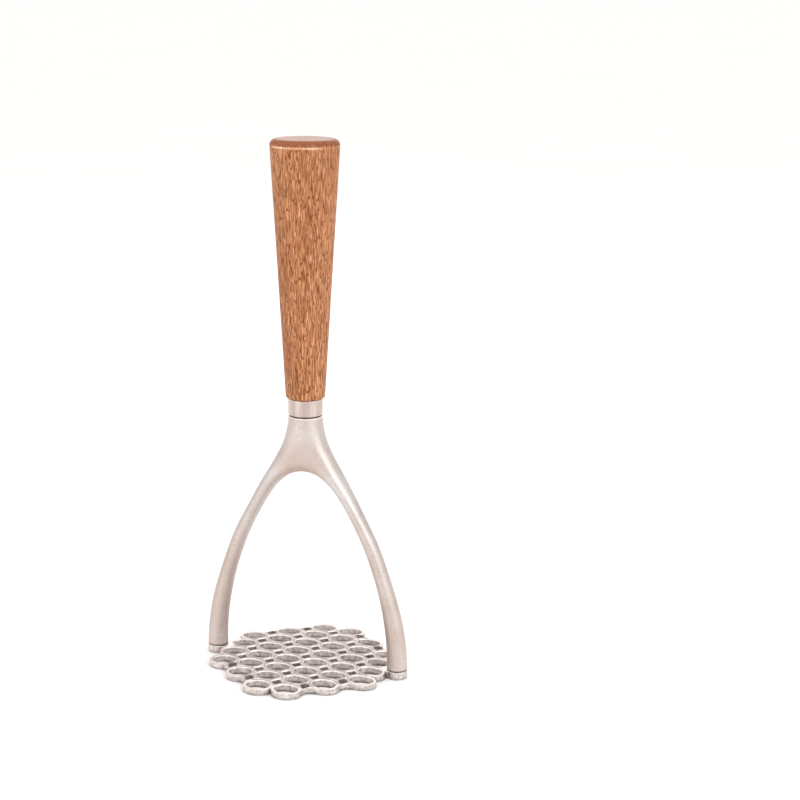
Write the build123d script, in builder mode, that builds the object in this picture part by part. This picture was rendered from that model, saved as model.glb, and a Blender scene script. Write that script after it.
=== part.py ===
from build123d import *

import os

# Hand masher, in millimetres.  Z is up, the origin is on the table under the middle of the
# plate, and X runs from one yoke foot to the other.  A cast wishbone yoke carries a cast plate
# of oval holes on two countersunk screws.  A stud holds the ferrule and the turned handle.

# ---- overall ----
total_height = 255.0
clearance = 0.05            # between a screw or stud and the hole around it

# ---- plate ----
plate_thickness = 3.8
pitch_x = 14.4              # between columns of holes
pitch_y = 11.6              # between rows of holes
hole_length = 11.4          # along X
hole_width = 8.5            # along Y
rim_wall = 1.6              # metal outside the outermost holes
column_heights = (8, 6, 4)  # holes in a column, from the middle columns outwards
rim_round = 0.7             # rounded top edge of every hole and gap
edge_round = 0.5            # rounded top edge of the outline
gap_half_x = 2.7            # diamond gap between four holes, before its corners are rounded
gap_half_y = 3.3
gap_corner = 0.8
cove_radius = 5.0           # scooped step between two columns of different height
seam_width = 0.8            # shallow seam between neighbouring rings
seam_depth = 0.3

# ---- lugs and yoke feet ----
foot_spacing = 95.0         # between the two foot axes
foot_radius = 4.9
lug_neck_width = 7.6

# ---- yoke ----
neck_radius = 8.2
neck_top = 124.9
crown_height = 97.3         # underside of the arch, on the middle plane
crown_thickness = 13.5      # of the bow, on the middle plane
crown_half_depth = 7.2

# ---- washer, ferrule and handle ----
washer_thickness = 0.6
washer_inset = 0.5          # how far the washer stands back from the neck's edge
ferrule_height = 8.2
ferrule_chamfer = 0.35
handle_foot_radius = 9.25
handle_max_radius = 16.2
handle_round = 3.1          # rounded edge of the flat handle top
handle_foot_round = 1.0
tenon_radius = 6.4
tenon_length = 3.6
tenon_gap = 0.2             # under the end of the tenon

# ---- screws, M3 with a hexagon socket ----
screw_radius = 1.5
screw_pitch = 0.5
screw_thread_depth = 0.27
screw_length = 12.0
screw_plain_shank = 0.5     # between the head and the thread
screw_head_radius = 3.0
screw_recess = 0.1          # the head lies this far inside the plate
screw_hole_spare = 1.0      # depth of the tapped hole beyond the screw
socket_radius = 1.0         # across the flats, halved
socket_depth = 1.2
countersink_angle = 90

# ---- stud, M6, and the threaded insert in the handle ----
stud_radius = 3.0
stud_pitch = 1.0
stud_thread_depth = 0.5
stud_depth_in_neck = 15.0
stud_depth_in_handle = 24.0
stud_hole_spare = 1.0
pilot_clearance = 0.3       # round the stud beyond the insert
insert_radius = 4.6
insert_pitch = 2.0
insert_thread_depth = 0.35
insert_length = 14.0

# ---- places along Z ----
washer_base = neck_top
ferrule_base = washer_base + washer_thickness
handle_base = ferrule_base + ferrule_height
tenon_base = handle_base - tenon_length
stud_base = neck_top - stud_depth_in_neck
stud_top = tenon_base + stud_depth_in_handle
foot_x = foot_spacing / 2

os.makedirs("parts", exist_ok=True)


def thread_profile(radius, pitch, depth, low, high):
    """Half section of a threaded rod: closed V ridges at the thread's pitch between plain ends."""
    root = radius - depth
    turns = int((high - low) / pitch)
    start = low + (high - low - turns * pitch) / 2
    points = [(0, low), (root, low)]
    for turn in range(turns):
        ridge = start + turn * pitch
        if ridge > low:
            points.append((root, ridge))
        points.append((radius, ridge + pitch / 2))
    points += [(root, start + turns * pitch), (root, high), (0, high)]
    return list(dict.fromkeys(points))


# ---------------------------------------------------------------- plate
hole_places = [
    (side * (column + 0.5) * pitch_x, (row - (count - 1) / 2) * pitch_y)
    for side in (-1, 1)
    for column, count in enumerate(column_heights)
    for row in range(count)
]
# A gap sits at every crossing of the lattice that has at least three holes around it.
gap_places = [
    (column * pitch_x, row * pitch_y)
    for column in range(-2, 3)
    for row in range(-3, 4)
    if abs(column) < 2 or abs(row) < 3
]
ring_half_x = hole_length / 2 + rim_wall
ring_half_y = hole_width / 2 + rim_wall
seam_reach_x = (len(column_heights) - 0.5) * pitch_x + gap_half_x
seam_reach_y = column_heights[0] * pitch_y / 2
seam_corners = ((-seam_width / 2, 0), (0, -seam_depth), (seam_width / 2, 0))

with BuildPart() as plate:
    with BuildSketch():
        with Locations(*hole_places):
            Ellipse(ring_half_x, ring_half_y)
        for column, count in enumerate(column_heights):
            Rectangle((2 * column + 1) * pitch_x, (count - 1) * pitch_y)
        # The metal round the gap at each step, scooped to a cove between the two rings.
        for side_x in (-1, 1):
            for side_y in (-1, 1):
                for column in (0, 1):
                    inner_x = (column + 0.5) * pitch_x
                    inner_y = (column_heights[column + 1] - 1) / 2 * pitch_y
                    cove_x = inner_x + ring_half_x + cove_radius
                    cove_y = inner_y + ring_half_y + cove_radius
                    middle = (side_x * (inner_x + cove_x) / 2, side_y * (inner_y + cove_y) / 2)
                    with BuildSketch(mode=Mode.PRIVATE) as web:
                        with Locations(middle):
                            Rectangle(cove_x - inner_x, cove_y - inner_y)
                        with Locations((side_x * cove_x, side_y * cove_y)):
                            Circle(cove_radius, mode=Mode.SUBTRACT)
                    add(web.sketch)
        with Locations((-foot_x, 0), (foot_x, 0)):
            Circle(foot_radius)
        Rectangle(foot_spacing, lug_neck_width)
    extrude(amount=plate_thickness)

    with BuildSketch():
        with Locations(*hole_places):
            Ellipse(hole_length / 2, hole_width / 2)
    extrude(amount=plate_thickness, mode=Mode.SUBTRACT)

    with BuildSketch():
        with BuildSketch(mode=Mode.PRIVATE) as one_gap:
            with BuildLine():
                corners = ((gap_half_x, 0), (0, gap_half_y), (-gap_half_x, 0), (0, -gap_half_y))
                FilletPolyline(*corners, radius=gap_corner, close=True)
            make_face()
        with Locations(*gap_places):
            add(one_gap.sketch)
    extrude(amount=plate_thickness, mode=Mode.SUBTRACT)

    for side in (-1, 1):
        with Locations(Plane((side * foot_x, 0, 0), z_dir=(0, 0, -1))):
            CounterSinkHole(
                screw_radius + clearance,
                screw_head_radius + clearance,
                plate_thickness,
                countersink_angle,
            )

    top_face = plate.faces().sort_by(Axis.Z)[-1]
    fillet(top_face.outer_wire().edges(), radius=edge_round)
    top_face = plate.faces().sort_by(Axis.Z)[-1]
    openings = top_face.inner_wires().filter_by(lambda wire: abs(wire.center().X) < foot_x - foot_radius)
    fillet(openings.edges(), radius=rim_round)

    # Shallow seams along the lattice lines set each ring apart from its neighbours.
    with BuildSketch(Plane.XZ.offset(-seam_reach_y)):
        for column in range(-2, 3):
            with Locations((column * pitch_x, plate_thickness)):
                Polygon(*seam_corners, align=None)
    extrude(amount=2 * seam_reach_y, mode=Mode.SUBTRACT)
    with BuildSketch(Plane.YZ.offset(-seam_reach_x)):
        for row in range(-3, 4):
            with Locations((row * pitch_y, plate_thickness)):
                Polygon(*seam_corners, align=None)
    extrude(amount=2 * seam_reach_x, mode=Mode.SUBTRACT)
plate.part.label = "plate"
export_step(plate.part, "parts/plate.step")

# ---------------------------------------------------------------- yoke
# The bow is one smooth loft of ovals from foot to foot, thickest at the crown.  Each station is
# (x, z) on the centre line of one leg, then the oval's half width in the plane of the bow and
# its half depth along Y.
leg_stations = [
    (47.5, plate_thickness, foot_radius, foot_radius),
    (47.3, 12.0, 4.8, 4.9),
    (45.2, 27.0, 4.3, 4.7),
    (41.05, 43.5, 3.7, 4.5),
    (35.3, 60.0, 3.45, 4.4),
    (27.8, 75.5, 3.3, 4.6),
    (20.2, 88.5, 3.6, 5.2),
    (11.4, 99.2, 5.0, 6.5),
]
crown_station = (0, crown_height + crown_thickness / 2, crown_thickness / 2, crown_half_depth)
left_stations = [(-x, z, half_width, half_depth) for x, z, half_width, half_depth in leg_stations]
stations = left_stations + [crown_station] + leg_stations[::-1]

# The neck flares from its round top down to a flat oval that ends inside the crown.  Each level
# is a height below the top, then the oval's half width along X and half depth along Y.
neck_levels = [
    (0, neck_radius + 0.01, neck_radius),
    (4.0, 8.5, 8.2),
    (10.0, 9.75, 8.1),
    (16.0, 12.1, 7.7),
    (20.0, 14.4, 6.9),
    (23.5, 16.1, 5.4),
]

with BuildPart() as yoke:
    with BuildLine(mode=Mode.PRIVATE) as bow_line:
        Spline(*[(x, 0, z) for x, z, _, _ in stations], tangents=((0, 0, 1), (0, 0, -1)))
    bow = bow_line.edges()[0]
    for x, z, half_width, half_depth in stations:
        tangent = bow % bow.param_at_point((x, 0, z))
        with BuildSketch(Plane((x, 0, z), x_dir=(0, 1, 0), z_dir=tangent)):
            Ellipse(half_depth, half_width)
    loft()
    for drop, half_width, half_depth in neck_levels:
        with BuildSketch(Plane.XY.offset(neck_top - drop)):
            Ellipse(half_width, half_depth)
    loft()
    for side in (-1, 1):
        with Locations(Plane((side * foot_x, 0, plate_thickness), z_dir=(0, 0, -1))):
            Hole(screw_radius + clearance, screw_length - plate_thickness + screw_hole_spare)
    with Locations(Plane.XY.offset(neck_top)):
        Hole(stud_radius + clearance, stud_depth_in_neck + stud_hole_spare)
yoke.part.label = "yoke"
export_step(yoke.part, "parts/yoke.step")

# ---------------------------------------------------------------- neck washer
with BuildPart() as neck_washer:
    with BuildSketch(Plane.XY.offset(washer_base)):
        Circle(neck_radius - washer_inset)
        Circle(stud_radius + clearance, mode=Mode.SUBTRACT)
    extrude(amount=washer_thickness)
neck_washer.part.label = "neck_washer"
export_step(neck_washer.part, "parts/neck_washer.step")

# ---------------------------------------------------------------- ferrule
with BuildPart() as ferrule:
    with BuildSketch(Plane.XY.offset(ferrule_base)):
        Circle(neck_radius)
    extrude(amount=ferrule_height)
    chamfer(ferrule.edges().filter_by(GeomType.CIRCLE), length=ferrule_chamfer)
    with Locations(Plane.XY.offset(handle_base)):
        CounterBoreHole(stud_radius + clearance, tenon_radius + clearance, tenon_length + tenon_gap)
ferrule.part.label = "ferrule"
export_step(ferrule.part, "parts/ferrule.step")

# ---------------------------------------------------------------- handle
with BuildPart() as handle:
    with BuildSketch(Plane.XZ):
        with BuildLine():
            flank = Line((handle_foot_radius, handle_base), (handle_max_radius, total_height - handle_round))
            Polyline(flank @ 1, (handle_max_radius, total_height), (0, total_height), (0, tenon_base))
            Polyline((0, tenon_base), (tenon_radius, tenon_base), (tenon_radius, handle_base), flank @ 0)
        make_face()
    revolve(axis=Axis.Z)
    fillet(handle.faces().sort_by(Axis.Z)[-1].edges(), radius=handle_round)
    shoulder = handle.faces().filter_by(Axis.Z).filter_by(lambda face: face.center().Z == handle_base)
    fillet(shoulder.edges().sort_by(SortBy.RADIUS)[-1], radius=handle_foot_round)
    with Locations(Plane((0, 0, tenon_base), z_dir=(0, 0, -1))):
        Hole(insert_radius + clearance, insert_length)
        Hole(stud_radius + pilot_clearance, stud_depth_in_handle + stud_hole_spare)
handle.part.label = "handle"
export_step(handle.part, "parts/handle.step")

# ---------------------------------------------------------------- threaded insert
with BuildPart() as handle_insert:
    insert_top = tenon_base + insert_length
    with BuildSketch(Plane.XZ):
        rod = thread_profile(insert_radius, insert_pitch, insert_thread_depth, tenon_base, insert_top)
        Polygon(*rod, align=None)
    revolve(axis=Axis.Z)
    with Locations(Plane.XY.offset(insert_top)):
        Hole(stud_radius + clearance)
handle_insert.part.label = "handle_insert"
export_step(handle_insert.part, "parts/handle_insert.step")

# ---------------------------------------------------------------- stud
with BuildPart() as handle_stud:
    with BuildSketch(Plane.XZ):
        rod = thread_profile(stud_radius, stud_pitch, stud_thread_depth, stud_base, stud_top)
        Polygon(*rod, align=None)
    revolve(axis=Axis.Z)
handle_stud.part.label = "handle_stud"
export_step(handle_stud.part, "parts/handle_stud.step")

# ---------------------------------------------------------------- screws
head_radius = screw_head_radius - screw_recess
head_top = screw_recess + head_radius - screw_radius
for side, name in ((-1, "plate_screw_left"), (1, "plate_screw_right")):
    screw_axis = Plane((side * foot_x, 0, 0))
    with BuildPart(screw_axis) as plate_screw:
        with BuildSketch(Plane(screw_axis.origin, x_dir=(1, 0, 0), z_dir=(0, -1, 0))):
            thread_base = head_top + screw_plain_shank
            rod = thread_profile(screw_radius, screw_pitch, screw_thread_depth, thread_base, screw_length)
            head = [(0, screw_recess), (head_radius, screw_recess), (screw_radius, head_top)]
            Polygon(*head, *rod[1:], align=None)
        revolve(axis=Axis(screw_axis.origin, (0, 0, 1)))
        with BuildSketch(screw_axis.offset(screw_recess)):
            RegularPolygon(socket_radius, 6, major_radius=False)
        extrude(amount=socket_depth, mode=Mode.SUBTRACT)
    plate_screw.part.label = name
    export_step(plate_screw.part, f"parts/{name}.step")
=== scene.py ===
from math import pi, radians

import bmesh
import bpy
import numpy as np
from mathutils import Matrix, Vector


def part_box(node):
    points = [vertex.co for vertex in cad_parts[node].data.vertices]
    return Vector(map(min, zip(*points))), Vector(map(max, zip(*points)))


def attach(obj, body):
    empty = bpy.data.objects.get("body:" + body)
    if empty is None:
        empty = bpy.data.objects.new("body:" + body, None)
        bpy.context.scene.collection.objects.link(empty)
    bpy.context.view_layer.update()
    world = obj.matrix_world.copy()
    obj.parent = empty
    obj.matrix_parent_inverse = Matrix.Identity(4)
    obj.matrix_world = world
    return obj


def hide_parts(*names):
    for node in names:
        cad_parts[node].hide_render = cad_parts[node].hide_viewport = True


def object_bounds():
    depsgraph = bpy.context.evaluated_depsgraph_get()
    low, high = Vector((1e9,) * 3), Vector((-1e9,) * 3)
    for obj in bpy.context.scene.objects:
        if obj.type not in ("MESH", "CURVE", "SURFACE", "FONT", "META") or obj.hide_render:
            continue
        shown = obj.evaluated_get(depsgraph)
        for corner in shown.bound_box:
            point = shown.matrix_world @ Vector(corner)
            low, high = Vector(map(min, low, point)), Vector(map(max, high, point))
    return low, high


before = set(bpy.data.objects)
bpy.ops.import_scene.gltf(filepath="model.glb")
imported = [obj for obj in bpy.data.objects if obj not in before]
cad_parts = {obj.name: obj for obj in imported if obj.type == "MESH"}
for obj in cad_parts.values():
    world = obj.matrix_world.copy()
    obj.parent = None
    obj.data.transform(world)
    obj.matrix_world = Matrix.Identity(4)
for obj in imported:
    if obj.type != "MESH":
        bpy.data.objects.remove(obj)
cad_low, cad_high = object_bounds()

MM = 0.001
WHITE = (1.0, 1.0, 1.0)
BLACK = (0.0, 0.0, 0.0)

# ---- places from the frame, in millimetres like every length below, apart from the camera and lamps ----
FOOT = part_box("yoke")[0].z / MM     # where the yoke's feet stand on the plate's lugs
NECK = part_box("yoke")[1].z / MM     # the top of the yoke's neck
HANDLE_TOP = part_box("handle")[1].z / MM
LUG_AT = sum(corner.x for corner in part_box("plate_screw_right")) / 2 / MM   # from the middle of the plate

# ---- the photographer's view ----
CAMERA_PLACE = Vector((0.3253, -0.7503, 0.3262))
CAMERA_HEADING = radians(20.31)     # turned to the left of +Y
CAMERA_PITCH = radians(13.33)       # looking down
CAMERA_ROLL = radians(0.58)
CAMERA_SENSOR = 36.0                # width in millimetres
CAMERA_LENS = 79.95


# ---------------------------------------------------------------- small helpers
def link(thing):
    bpy.context.scene.collection.objects.link(thing)
    return thing


def aim(thing, place, target):
    """Stands a lamp at place, looking at target."""
    thing.location = place
    thing.rotation_euler = (Vector(target) - Vector(place)).to_track_quat("-Z", "Y").to_euler()


def new_piece(name, mesh, node):
    """A visible piece in a CAD node's place, with that node's body and material slot."""
    for face in mesh.polygons:
        face.use_smooth = True
    piece = link(bpy.data.objects.new(name, mesh))
    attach(piece, "root")
    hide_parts(node)


# ---------------------------------------------------------------- materials
# Level rings on the object, as (height, half width).
FOOT_JOINT_SHADE = (FOOT + 0.2, 0.9)               # painted shade in the joint between the yoke's feet and the plate's lugs
NECK_EDGE_HIGHLIGHT = (NECK - 0.2, 0.4)               # a painted highlight round the top edge of the yoke's neck
HANDLE_EDGE_HIGHLIGHT = (HANDLE_TOP - 3.3, 0.65)      # where the handle's side turns over to its top, with a painted highlight along it
# Stretches over which a tint comes or goes, as (start, end).
LOW_LEG_SHADE = (45.0, 85.0)                  # heights over which painted shade low on the legs fades out
CROWN_WARMTH = (3.0, 18.0)                 # distances from the crown
OUTER_RIMS = (38.0, 41.0)                   # distances from the middle of the plate
WALL_SHADE = (0.2, 1.5)                      # heights over which painted shade low on the walls fades out
CROWN = (0.0, 0.0, 99.0)                    # just above the crotch of the yoke


class Surface:
    """A node material in the making: one shader, with its constant numbers set on its sockets."""

    def __init__(self, name, **constants):
        self.material = bpy.data.materials.new(name)
        self.material.use_nodes = True
        self.nodes = self.material.node_tree.nodes
        self.shader = self.nodes["Principled BSDF"]
        self.texture = self.add("ShaderNodeTexCoord")
        for socket, value in constants.items():
            self.shader.inputs[socket.replace("_", " ")].default_value = value

    def add(self, kind, **settings):
        node = self.nodes.new(kind)
        for key, value in settings.items():
            setattr(node, key, value)
        return node

    def join(self, output, socket):
        self.material.node_tree.links.new(output, socket)

    def along(self, what, axis):
        """One coordinate of the place on the object ("Object") or of its facing ("Normal")."""
        parts = self.add("ShaderNodeSeparateXYZ")
        self.join(self.texture.outputs[what], parts.inputs["Vector"])
        return parts.outputs[axis]

    def distance(self, point):
        """How far a place on the object is from a point."""
        gap = self.add("ShaderNodeVectorMath", operation="DISTANCE")
        self.join(self.texture.outputs["Object"], gap.inputs[0])
        gap.inputs[1].default_value = [part * MM for part in point]
        return gap.outputs["Value"]

    def noise(self, across, along=None, detail=2.0, roughness=0.5, distortion=0.0, shift=(0, 0, 0)):
        """Noise with so many grains per metre across the object and along Z."""
        mapping = self.add("ShaderNodeMapping")
        mapping.inputs["Scale"].default_value = (across, across, along or across)
        mapping.inputs["Location"].default_value = shift
        self.join(self.texture.outputs["Object"], mapping.inputs["Vector"])
        noise = self.add("ShaderNodeTexNoise")
        noise.inputs["Scale"].default_value = 1.0
        noise.inputs["Detail"].default_value = detail
        noise.inputs["Roughness"].default_value = roughness
        noise.inputs["Distortion"].default_value = distortion
        self.join(mapping.outputs["Vector"], noise.inputs["Vector"])
        return noise.outputs["Fac"]

    def openness(self, reach_mm):
        """From 0 deep in a recess to 1 where nothing stands within reach."""
        node = self.add("ShaderNodeAmbientOcclusion", samples=8)
        node.inputs["Distance"].default_value = reach_mm * MM
        return node.outputs["AO"]

    def ramp(self, value, *stops):
        """Colours at places from 0 to 1 along a value."""
        ramp = self.add("ShaderNodeValToRGB")
        elements = ramp.color_ramp.elements
        while len(elements) < len(stops):
            elements.new(0.5)
        for element, (place, colour) in zip(elements, stops):
            element.position = place
            element.color = (*colour, 1.0)
        self.join(value, ramp.inputs["Fac"])
        return ramp.outputs["Color"]

    def remap(self, value, low, high, new_low, new_high):
        remap = self.add("ShaderNodeMapRange")
        for socket, number in zip(remap.inputs[1:5], (low, high, new_low, new_high)):
            socket.default_value = number
        self.join(value, remap.inputs["Value"])
        return remap.outputs["Result"]

    def fade(self, length, stretch, new_start, new_end):
        """Goes from one number to another while a height or distance passes through a stretch."""
        start, end = stretch
        return self.remap(length, start * MM, end * MM, new_start, new_end)

    def mix(self, blend, share, first, second):
        """Mixes two colours. share is a number or a node's output."""
        mix = self.add("ShaderNodeMix", data_type="RGBA", blend_type=blend)
        if isinstance(share, float):
            mix.inputs["Factor"].default_value = share
        else:
            self.join(share, mix.inputs["Factor"])
        for socket, colour in ((mix.inputs["A"], first), (mix.inputs["B"], second)):
            if isinstance(colour, tuple):
                socket.default_value = (*colour, 1.0)
            else:
                self.join(colour, socket)
        return mix.outputs["Result"]

    def sum(self, base, *parts):
        """A number plus values, each given as (output, share)."""
        total = None
        for output, share in parts:
            node = self.add("ShaderNodeMath", operation="MULTIPLY_ADD")
            self.join(output, node.inputs[0])
            node.inputs[1].default_value = share
            node.inputs[2].default_value = base
            if total is not None:
                self.join(total, node.inputs[2])
            total = node.outputs[0]
        return total

    def product(self, first, second):
        node = self.add("ShaderNodeMath", operation="MULTIPLY")
        self.join(first, node.inputs[0])
        self.join(second, node.inputs[1])
        return node.outputs[0]

    def bump(self, height, depth_mm, strength=1.0):
        bump = self.add("ShaderNodeBump")
        bump.inputs["Distance"].default_value = depth_mm * MM
        bump.inputs["Strength"].default_value = strength
        self.join(height, bump.inputs["Height"])
        self.join(bump.outputs["Normal"], self.shader.inputs["Normal"])

    def colour(self, output):
        self.join(output, self.shader.inputs["Base Color"])

    def rough(self, output):
        self.join(output, self.shader.inputs["Roughness"])


def band(surface, ring):
    """1 at the height of a level ring round the object, fading to 0 above and below it."""
    height, half_width = ring
    z = surface.along("Object", "Z")
    below = surface.fade(z, (height - half_width, height), 0.0, 1.0)
    above = surface.fade(z, (height, height + half_width), 1.0, 0.0)
    return surface.product(below, above)


def yoke_metal():
    """Cast aluminium, bead blasted: a fine matt grain, warmer round the crown, painted shade low on the
    legs.

    A painted shadow darkens the joints at the feet, and a painted highlight brightens the edge round the
    neck's top.
    """
    surface = Surface("yoke_metal", Metallic=1.0)
    clouds = surface.noise(60, detail=3, roughness=0.6)
    grain = surface.noise(1300, detail=3, roughness=0.65)
    pits = surface.noise(3000, detail=1)
    tone = surface.ramp(
        clouds, (0.3, (0.655, 0.566, 0.527)), (0.5, (0.705, 0.632, 0.600)), (0.7, (0.75, 0.698, 0.680))
    )
    speckle = surface.ramp(grain, (0.3, (0.80, 0.79, 0.78)), (0.62, WHITE))
    grained = surface.mix("MULTIPLY", 1.0, tone, speckle)
    # Warmer towards the crown.
    near_crown = surface.fade(surface.distance(CROWN), CROWN_WARMTH, 0.9, 0.0)
    warmed = surface.mix("MULTIPLY", near_crown, grained, (0.87, 0.69, 0.60))
    # Painted shade: darker low on the legs.
    low_on_legs = surface.fade(surface.along("Object", "Z"), LOW_LEG_SHADE, 1.0, 0.0)
    shaded_low = surface.mix("MULTIPLY", low_on_legs, warmed, (0.93, 0.875, 0.84))
    # Painted shade: a near-black band along the joint at the feet.
    joint_shaded = surface.mix("MIX", band(surface, FOOT_JOINT_SHADE), shaded_low, (0.07, 0.055, 0.05))
    # Painted highlight: a pale band round the edge at the neck's top.
    surface.colour(surface.mix("MIX", band(surface, NECK_EDGE_HIGHLIGHT), joint_shaded, (0.97, 0.91, 0.88)))
    surface.rough(surface.sum(0.30, (clouds, 0.12), (grain, 0.22), (pits, 0.10)))
    surface.bump(surface.sum(0.0, (grain, 1.0), (pits, 0.5)), 0.06, 0.7)
    return surface.material


def plate_metal():
    """The same alloy, rougher: a painted highlight where the face rounds over, painted shade on the face
    itself.

    The outer rims are paler than the middle; painted shade darkens the holes, the gaps and the walls low
    down.
    """
    surface = Surface("plate_metal", Metallic=1.0)
    clouds = surface.noise(110, detail=3, roughness=0.6)
    lumps = surface.noise(620, detail=3, roughness=0.65)
    grain = surface.noise(2200, detail=2, roughness=0.6)
    # Painted shade: darker where the plate is closed in, in its holes and gaps.
    tone = surface.ramp(
        surface.openness(5.0),
        (0.12, (0.58, 0.52, 0.50)), (0.5, (0.70, 0.64, 0.62)), (0.85, (0.79, 0.72, 0.695)),
    )
    shade = surface.ramp(clouds, (0.3, (0.86, 0.85, 0.84)), (0.7, WHITE))
    clouded = surface.mix("MULTIPLY", 1.0, tone, shade)
    speckle = surface.ramp(lumps, (0.33, (0.62, 0.60, 0.59)), (0.62, (1.12, 1.12, 1.12)))
    grained = surface.mix("MULTIPLY", 1.0, clouded, speckle)
    facing_up = surface.along("Normal", "Z")
    # Painted highlight on the faces that round over from the top into the holes.
    rim = surface.product(
        surface.remap(facing_up, 0.3, 0.55, 0.0, 1.0), surface.remap(facing_up, 0.86, 0.96, 0.8, 0.0)
    )
    rim_highlighted = surface.mix("MIX", rim, grained, (0.97, 0.91, 0.885))
    from_middle = surface.distance((0, 0, 0))
    within = surface.fade(from_middle, OUTER_RIMS, 1.0, 0.0)
    beyond = surface.fade(from_middle, OUTER_RIMS, 0.0, 1.0)
    # Painted shade: the flat top face within the border is darkened.
    inner_land = surface.product(surface.remap(facing_up, 0.9, 0.985, 0.0, 1.0), within)
    outer_land = surface.product(surface.remap(facing_up, 0.3, 0.8, 0.0, 0.9), beyond)
    land_shaded = surface.mix("MULTIPLY", inner_land, rim_highlighted, (0.60, 0.58, 0.58))
    landed = surface.mix("MIX", outer_land, land_shaded, (0.73, 0.68, 0.66))
    # Painted shade: the walls of the holes are darkened low down, less so near the border.
    low_down = surface.fade(surface.along("Object", "Z"), WALL_SHADE, 1.0, 0.0)
    on_walls = surface.remap(facing_up, -0.8, -0.3, 0.0, 1.0)
    inside = surface.fade(from_middle, (OUTER_RIMS[0] + 1.0, OUTER_RIMS[1]), 0.95, 0.35)
    painted_wall_shade = surface.product(surface.product(low_down, on_walls), inside)
    surface.colour(surface.mix("MULTIPLY", painted_wall_shade, landed, (0.20, 0.17, 0.16)))
    surface.rough(surface.sum(0.22, (lumps, 0.30), (grain, 0.20)))
    surface.bump(surface.sum(0.0, (lumps, 1.0), (grain, 0.45)), 0.16, 0.8)
    return surface.material


def ferrule_metal():
    """Satin steel turned on a lathe: fine rings round the axis, soft smears along it, painted shade in its
    joints.
    """
    surface = Surface("ferrule_metal", Metallic=1.0)
    rings = surface.noise(30, 7000, detail=2)
    smears = surface.noise(260, 25, detail=3, distortion=0.4)
    grain = surface.noise(2600, detail=2)
    tone = surface.ramp(
        smears, (0.3, (0.50, 0.395, 0.355)), (0.5, (0.61, 0.495, 0.45)), (0.68, (0.76, 0.645, 0.60))
    )
    speckle = surface.ramp(grain, (0.3, (0.90, 0.89, 0.88)), (0.6, WHITE))
    grained = surface.mix("MULTIPLY", 1.0, tone, speckle)
    # Painted shade: darker where another part closes in on the ferrule's ends.
    painted_joint_shade = surface.remap(surface.openness(0.9), 0.3, 0.85, 0.8, 0.0)
    surface.colour(surface.mix("MIX", painted_joint_shade, grained, (0.14, 0.10, 0.085)))
    surface.rough(surface.sum(0.11, (rings, 0.14), (smears, 0.20)))
    surface.bump(surface.sum(0.0, (rings, 1.0), (grain, 0.4)), 0.012, 0.5)
    return surface.material


def wood():
    """Oiled open-pored hardwood: orange brown, with thin dark pores and pale flecks along the grain.

    The end grain on top has drunk more oil: it is darker, with fewer marks, and polished where it is
    flat. Part of that darkness is painted shade on the rounded top edge, and a painted highlight runs
    round that edge, broken in places.
    """
    surface = Surface("handle_wood", Specular_IOR_Level=0.30)
    tone = surface.noise(70, 7, detail=3, roughness=0.55, distortion=0.5)
    fibre = surface.noise(2000, 50, detail=3, roughness=0.6, distortion=0.2)
    pores = surface.noise(1600, 130, detail=0, roughness=0.5, distortion=0.2)
    flecks = surface.noise(2200, 160, detail=1, roughness=0.5, distortion=0.2, shift=(4, 7, 2))
    body = surface.ramp(
        tone, (0.28, (0.40, 0.149, 0.055)), (0.5, (0.485, 0.192, 0.076)), (0.74, (0.565, 0.240, 0.103))
    )
    dark_fibres = surface.ramp(fibre, (0.36, (0.60, 0.50, 0.43)), (0.58, (1.06, 1.06, 1.05)))
    streaked = surface.mix("MULTIPLY", 0.95, body, dark_fibres)
    facing_up = surface.along("Normal", "Z")
    calm = surface.remap(facing_up, 0.4, 0.95, 1.0, 0.35)
    fleck_mask = surface.product(calm, surface.remap(flecks, 0.54, 0.62, 0.0, 0.6))
    flecked = surface.mix("MIX", fleck_mask, streaked, (0.80, 0.41, 0.215))
    thin_lines = surface.ramp(pores, (0.435, BLACK), (0.47, WHITE), (0.53, WHITE), (0.565, BLACK))
    pore_mask = surface.product(calm, thin_lines)
    pored = surface.mix("MIX", pore_mask, flecked, (0.19, 0.055, 0.012))

    # Darker where the surface faces up: end grain that takes more oil, and painted shade on the rounded top
    # edge.
    end_grain = surface.remap(facing_up, 0.02, 0.35, 0.0, 1.0)
    turned = surface.mix("MULTIPLY", end_grain, pored, (0.68, 0.55, 0.50))
    # Painted highlight: a pale line round the top edge, broken up by noise.
    highlight_breaks = surface.remap(surface.noise(55, detail=1), 0.44, 0.56, 0.1, 0.9)
    crease_highlight = surface.product(band(surface, HANDLE_EDGE_HIGHLIGHT), highlight_breaks)
    surface.colour(surface.mix("MIX", crease_highlight, turned, (1.0, 0.62, 0.42)))
    polish = surface.remap(facing_up, 0.9, 0.99, 0.0, -0.22)
    surface.rough(surface.sum(0.44, (fibre, 0.22), (pore_mask, 0.15), (polish, 1.0)))
    surface.bump(surface.sum(0.0, (fibre, 0.3), (pore_mask, -0.8), (flecks, 0.2)), 0.09, 0.6)
    return surface.material


def seal_rubber():
    surface = Surface("washer_rubber")
    grain = surface.noise(1500, detail=3)
    surface.colour(surface.ramp(grain, (0.3, (0.02, 0.017, 0.016)), (0.8, (0.055, 0.048, 0.045))))
    surface.rough(surface.remap(grain, 0.2, 0.8, 0.5, 0.75))
    surface.bump(grain, 0.02, 0.4)
    return surface.material


def machined(name, light, dark):
    """Bar metal cut on a lathe."""
    surface = Surface(name, Metallic=1.0)
    marks = surface.noise(200, 6000, detail=2)
    stains = surface.noise(300, detail=3)
    surface.colour(surface.ramp(stains, (0.3, dark), (0.7, light)))
    surface.rough(surface.sum(0.0, (marks, 0.25), (stains, 0.2)))
    surface.bump(marks, 0.01, 0.4)
    return surface.material


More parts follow.
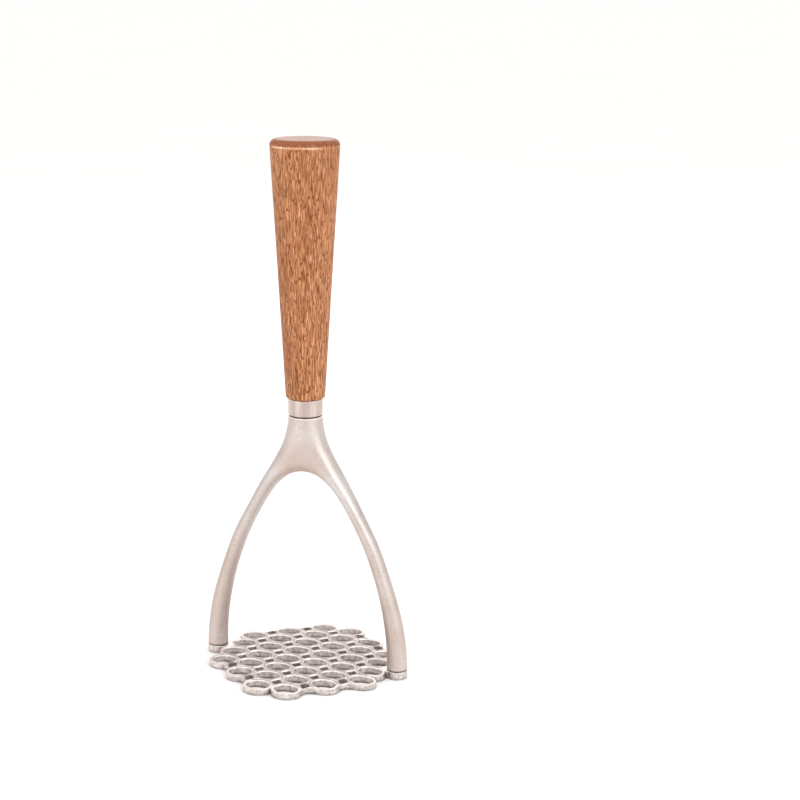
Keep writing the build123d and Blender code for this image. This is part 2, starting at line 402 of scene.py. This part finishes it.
MATERIALS = {
    "plate": plate_metal(),
    "yoke": yoke_metal(),
    "neck_washer": seal_rubber(),
    "ferrule": ferrule_metal(),
    "handle": wood(),
    "handle_insert": machined("insert_brass", (0.78, 0.57, 0.25), (0.62, 0.42, 0.16)),
    "handle_stud": machined("fastener_steel", (0.66, 0.65, 0.64), (0.50, 0.49, 0.48)),
}
for screw in ("plate_screw_left", "plate_screw_right"):
    MATERIALS[screw] = MATERIALS["handle_stud"]

for node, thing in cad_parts.items():
    thing.data.materials.clear()
    thing.data.materials.append(MATERIALS[node])


# ---------------------------------------------------------------- yoke
# Half of the yoke's outline seen from the front, as (x, z).
OUTER_EDGE = [
    (52.39, FOOT), (51.6, 16.0), (49.3, 29.0), (45.8, 41.0), (42.0, 52.0), (37.1, 64.4), (30.5, 77.0),
    (23.4, 89.8), (18.6, 97.7), (14.0, 105.5), (10.9, 111.8), (9.05, 118.0), (8.2, NECK),
]
INNER_EDGE = [
    (42.61, FOOT), (42.2, 16.0), (40.5, 29.0), (37.9, 41.0), (34.5, 52.0), (29.6, 64.4), (23.1, 77.0),
    (17.1, 86.6), (11.3, 93.0), (6.0, 96.2), (0.0, 97.3),
]
# Half depth of the yoke along Y, as (z, half depth).
HALF_DEPTH = [
    (FOOT, 4.9), (31.0, 4.65), (50.0, 4.4), (65.0, 4.35), (78.0, 4.6), (88.0, 5.25), (98.0, 6.3),
    (106.0, 7.2), (114.0, 7.95), (120.0, 8.2), (NECK, 8.2),
]
SHOULDER = 0.80             # how far along the outer edge the row through the crotch ends
INNER_ROUNDING = 6.5        # largest radius of the rounded inner edge
OUTER_ROUNDING = 8.2
LEG_ROWS = 130
NECK_ROWS = 44
COLUMNS = 18
EDGE_BREAK = 0.35           # small bevel round the neck's top and the feet
STUD_BORE = (3.05, 16.0)    # radius and depth
SCREW_BORE = (1.55, 9.2)
EDGE_POINTS = 1500          # how finely the outlines are divided to measure from
NECK_CROWDING = 1.6         # the neck's rows crowd towards the crotch
MERGE = 1e-3                # points nearer than this are one
YOKE_CREASE = radians(40)   # sharper edges than this aren't smoothed


def smooth_curve(points, first_slope, last_slope, places):
    """A cubic spline through points with set end slopes, read at places from 0 to 1 of its length."""
    points = np.array(points, float)
    gaps = np.linalg.norm(np.diff(points, axis=0), axis=1)
    knots = np.concatenate(([0.0], np.cumsum(gaps)))
    count = len(points)
    matrix = np.eye(count)
    sides = np.zeros_like(points)
    sides[0], sides[-1] = first_slope, last_slope
    for i in range(1, count - 1):
        before, after = gaps[i - 1], gaps[i]
        matrix[i, i - 1 : i + 2] = after, 2 * (before + after), before
        step_in, step_out = points[i] - points[i - 1], points[i + 1] - points[i]
        sides[i] = 3 * (after * step_in / before + before * step_out / after)
    slopes = np.linalg.solve(matrix, sides)
    along = np.asarray(places, float) * knots[-1]
    part = np.clip(np.searchsorted(knots, along, side="right") - 1, 0, count - 2)
    gap = gaps[part][:, None]
    t = (along[:, None] - knots[part][:, None]) / gap
    start, end = points[part], points[part + 1]
    return (
        (2 * t**3 - 3 * t**2 + 1) * start
        + (t**3 - 2 * t**2 + t) * gap * slopes[part]
        + (3 * t**2 - 2 * t**3) * end
        + (t**3 - t**2) * gap * slopes[part + 1]
    )


def soft_minimum(a, b, sharpness=6.0):
    """The smaller of two lengths, with a smooth handover where they are nearly equal."""
    return (a**-sharpness + b**-sharpness) ** (-1 / sharpness)


def rounding(distance, radius):
    """Height of a quarter round, from 0 at its edge to 1 at its radius and beyond."""
    u = np.clip(distance / radius, 0.0, 1.0)
    return np.sqrt(u * (2 - u))


def yoke_quarter():
    """Rows of points over a quarter of the yoke, with x and -y from 0 up."""
    up, across = (0, 1), (-1, 0)
    fine = np.linspace(0, 1, EDGE_POINTS)
    outer_line = smooth_curve(OUTER_EDGE, up, up, fine)
    inner_line = smooth_curve(INNER_EDGE, up, across, fine)
    depth_line = smooth_curve(HALF_DEPTH, (1, 0), (1, 0), fine)

    leg = np.linspace(0, 1, LEG_ROWS, endpoint=False)
    neck = np.linspace(0, 1, NECK_ROWS + 1)
    places = np.concatenate((leg * SHOULDER, SHOULDER + neck * (1 - SHOULDER)))
    outer = smooth_curve(OUTER_EDGE, up, up, places)
    crotch, top = INNER_EDGE[-1][1], OUTER_EDGE[-1][1]
    middle = np.stack([np.zeros_like(neck), crotch + (top - crotch) * neck**NECK_CROWDING], axis=1)
    inner = np.concatenate((smooth_curve(INNER_EDGE, up, across, leg), middle))
    opening = np.concatenate((np.zeros_like(leg), neck))[:, None]

    t = np.linspace(0, 1, COLUMNS + 1)[None, :]
    both_round = (1 - np.cos(pi * t)) / 2
    outer_round = np.sin(pi * t / 2)
    share = both_round * (1 - opening) + outer_round * opening
    flat = inner[:, None, :] * (1 - share[..., None]) + outer[:, None, :] * share[..., None]

    from_inner = distance_to(flat, inner_line)
    from_outer = distance_to(flat, outer_line)
    half = np.maximum((from_inner + from_outer) / 2, MERGE / 1000)
    height = rounding(from_inner, soft_minimum(half, INNER_ROUNDING))
    height *= rounding(from_outer, soft_minimum(half, OUTER_ROUNDING))
    height[:, -1] = 0                   # exactly flat where the quarters meet
    height[: LEG_ROWS + 1, 0] = 0
    depth = np.interp(flat[..., 1], depth_line[:, 0], depth_line[:, 1]) * height
    return np.stack([flat[..., 0], -depth, flat[..., 1]], axis=2)


def distance_to(points, line):
    """Shortest distance from each of a grid of points to a finely divided line."""
    gaps = [np.linalg.norm(row[:, None, :] - line[None, :, :], axis=2) for row in points]
    return np.array([gap.min(axis=1) for gap in gaps])


def close_end(bm, loop, centre, step, bore):
    """Breaks the edge of an open end, then closes it with a flat ring and a blind bore."""
    radius, depth = bore
    for rise, shape in ((step, "bevel"), (0.0, "bore"), (-depth * (1 if step > 0 else -1), "floor")):
        edges = bmesh.ops.extrude_edge_only(bm, edges=loop)["geom"]
        loop = [item for item in edges if isinstance(item, bmesh.types.BMEdge)]
        for vert in {vert for edge in loop for vert in edge.verts}:
            arm = Vector((vert.co.x - centre, vert.co.y))
            if shape == "bevel":
                arm -= arm.normalized() * EDGE_BREAK * MM
            else:
                arm = arm.normalized() * radius * MM
            vert.co = Vector((centre + arm.x, arm.y, vert.co.z + rise * MM))
    bmesh.ops.contextual_create(bm, geom=loop)


def make_yoke():
    """One casting: two legs that flow into a neck, mirrored from a quarter."""
    quarter = yoke_quarter() * MM
    rows, columns = quarter.shape[:2]
    bm = bmesh.new()
    for side_x, side_y in ((1, 1), (-1, 1), (-1, -1), (1, -1)):
        grid = [[bm.verts.new(point * (side_x, side_y, 1)) for point in row] for row in quarter]
        for i in range(rows - 1):
            for j in range(columns - 1):
                corners = (grid[i][j], grid[i][j + 1], grid[i + 1][j + 1], grid[i + 1][j])
                bm.faces.new(corners if side_x * side_y > 0 else corners[::-1])
    bmesh.ops.remove_doubles(bm, verts=bm.verts, dist=MERGE * MM)
    bmesh.ops.dissolve_degenerate(bm, dist=MERGE * MM / 10, edges=bm.edges)
    top, foot = OUTER_EDGE[-1][1] * MM, OUTER_EDGE[0][1] * MM
    foot_x = (OUTER_EDGE[0][0] + INNER_EDGE[0][0]) / 2 * MM
    open_edges = [edge for edge in bm.edges if edge.is_boundary]
    ends = (
        ([edge for edge in open_edges if edge.verts[0].co.z > foot + top / 2], 0.0, 1, STUD_BORE),
        ([edge for edge in open_edges if edge.verts[0].co.x > foot_x / 2], foot_x, -1, SCREW_BORE),
        ([edge for edge in open_edges if edge.verts[0].co.x < -foot_x / 2], -foot_x, -1, SCREW_BORE),
    )
    for loop, centre, way, bore in ends:
        for vert in {vert for edge in loop for vert in edge.verts}:
            vert.co.z -= way * EDGE_BREAK * MM
        close_end(bm, loop, centre, way * EDGE_BREAK, bore)
    bmesh.ops.recalc_face_normals(bm, faces=bm.faces)
    mesh = bpy.data.meshes.new("yoke_casting")
    bm.to_mesh(mesh)
    bm.free()
    mesh.materials.append(MATERIALS["yoke"])
    new_piece("yoke_casting", mesh, "yoke")
    mesh.set_sharp_from_angle(angle=YOKE_CREASE)


make_yoke()


# ---------------------------------------------------------------- plate
BORDER_BELOW = (33.0, 42.0, 0.20)   # the underside rises from this radius to that one, by so much
BORDER_ABOVE = (32.0, 44.0, 0.65)   # and the top falls
LUG_REACH = (5.5, 9.0)              # the lugs keep their full thickness within the first distance
PLATE_CREASE = radians(30)


def ease(value, start, end):
    """0 before start, 1 after end and a smooth step between them."""
    t = np.clip((value - start) / (end - start), 0.0, 1.0)
    return t * t * (3 - 2 * t)


def make_plate():
    """The plate, cast thinner towards its border on both faces, with its lugs left thick."""
    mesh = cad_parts["plate"].data.copy()
    mesh.name = "plate_casting"
    places = np.array([vertex.co for vertex in mesh.vertices]) / MM
    x, y, z = places.T
    radius = np.hypot(x, y)
    thinned = ease(np.hypot(np.abs(x) - LUG_AT, y), *LUG_REACH)
    rise = BORDER_BELOW[2] * ease(radius, *BORDER_BELOW[:2]) * thinned
    fall = BORDER_ABOVE[2] * ease(radius, *BORDER_ABOVE[:2]) * thinned
    places[:, 2] = rise + z * (1 - (rise + fall) / z.max())
    mesh.vertices.foreach_set("co", (places * MM).ravel())
    bm = bmesh.new()
    bm.from_mesh(mesh)
    bmesh.ops.remove_doubles(bm, verts=bm.verts, dist=MERGE * MM / 10)
    bm.to_mesh(mesh)
    bm.free()
    new_piece("plate_casting", mesh, "plate")
    mesh.set_sharp_from_angle(angle=PLATE_CREASE)


make_plate()


# ---------------------------------------------------------------- floor, light and camera
FLOOR_HALF = 150e3                  # wide enough to run on to the horizon
FLOOR_GAP = 0.05                    # under the plate
TENT_TINT = (1.0, 0.985, 0.975)


def make_floor():
    """Plain pale matt paint."""
    surface = Surface("floor_paint")
    cloud = surface.noise(3, detail=2)
    surface.colour(surface.ramp(cloud, (0.0, (0.90, 0.895, 0.89)), (1.0, (0.92, 0.915, 0.91))))
    surface.rough(surface.remap(cloud, 0, 1, 0.75, 0.85))
    half = FLOOR_HALF * MM
    corners = [(-half, -half, 0), (half, -half, 0), (half, half, 0), (-half, half, 0)]
    mesh = bpy.data.meshes.new("floor")
    mesh.from_pydata(corners, [], [(0, 1, 2, 3)])
    mesh.materials.append(surface.material)
    floor = link(bpy.data.objects.new("floor", mesh))
    floor.location.z = cad_low.z - FLOOR_GAP * MM


def make_lamp(name, place, size, power, colour=WHITE):
    """A soft box at place, turned to the middle of the object."""
    lamp = bpy.data.lights.new(name, "AREA")
    lamp.shape = "RECTANGLE"
    lamp.size, lamp.size_y = size
    lamp.energy = power
    lamp.color = colour
    aim(link(bpy.data.objects.new(name, lamp)), place, (cad_low + cad_high) / 2)


def make_world():
    """A soft white tent: brightest overhead, dimmer low down, with a pale band where it meets the floor."""
    world = bpy.data.worlds.new("studio")
    world.use_nodes = True
    nodes, links = world.node_tree.nodes, world.node_tree.links
    parts = nodes.new("ShaderNodeSeparateXYZ")
    ramp = nodes.new("ShaderNodeValToRGB")
    stops = ((0.06, 0.70), (0.15, 0.36), (1.0, 1.0))    # (height of the direction, brightness)
    elements = ramp.color_ramp.elements
    elements.new(0.5)
    for element, (height, white) in zip(elements, stops):
        element.position = height
        element.color = (*(white * part for part in TENT_TINT), 1.0)
    background = nodes["Background"]
    background.inputs["Strength"].default_value = 1.5
    links.new(nodes.new("ShaderNodeTexCoord").outputs["Generated"], parts.inputs["Vector"])
    links.new(parts.outputs["Z"], ramp.inputs["Fac"])
    links.new(ramp.outputs["Color"], background.inputs["Color"])
    bpy.context.scene.world = world


def make_camera():
    lens = bpy.data.cameras.new("camera")
    lens.lens = CAMERA_LENS
    lens.sensor_width = CAMERA_SENSOR
    camera = link(bpy.data.objects.new("camera", lens))
    turn = Matrix.Rotation(CAMERA_HEADING, 4, "Z") @ Matrix.Rotation(pi / 2 - CAMERA_PITCH, 4, "X")
    camera.matrix_world = Matrix.Translation(CAMERA_PLACE) @ turn @ Matrix.Rotation(CAMERA_ROLL, 4, "Z")
    bpy.context.scene.camera = camera


make_camera()
make_floor()
make_world()
make_lamp("right_box", (1.05, -0.37, 0.70), (0.6, 0.8), 5.6, (0.84, 0.95, 1.0))
make_lamp("left_box", (-0.6, -1.05, 0.45), (0.35, 0.9), 2.0, (1.0, 0.98, 0.96))
make_lamp("back_box", (-0.5, 1.5, 0.78), (1.6, 0.6), 4.8)
bpy.context.scene.view_settings.view_transform = "Standard"
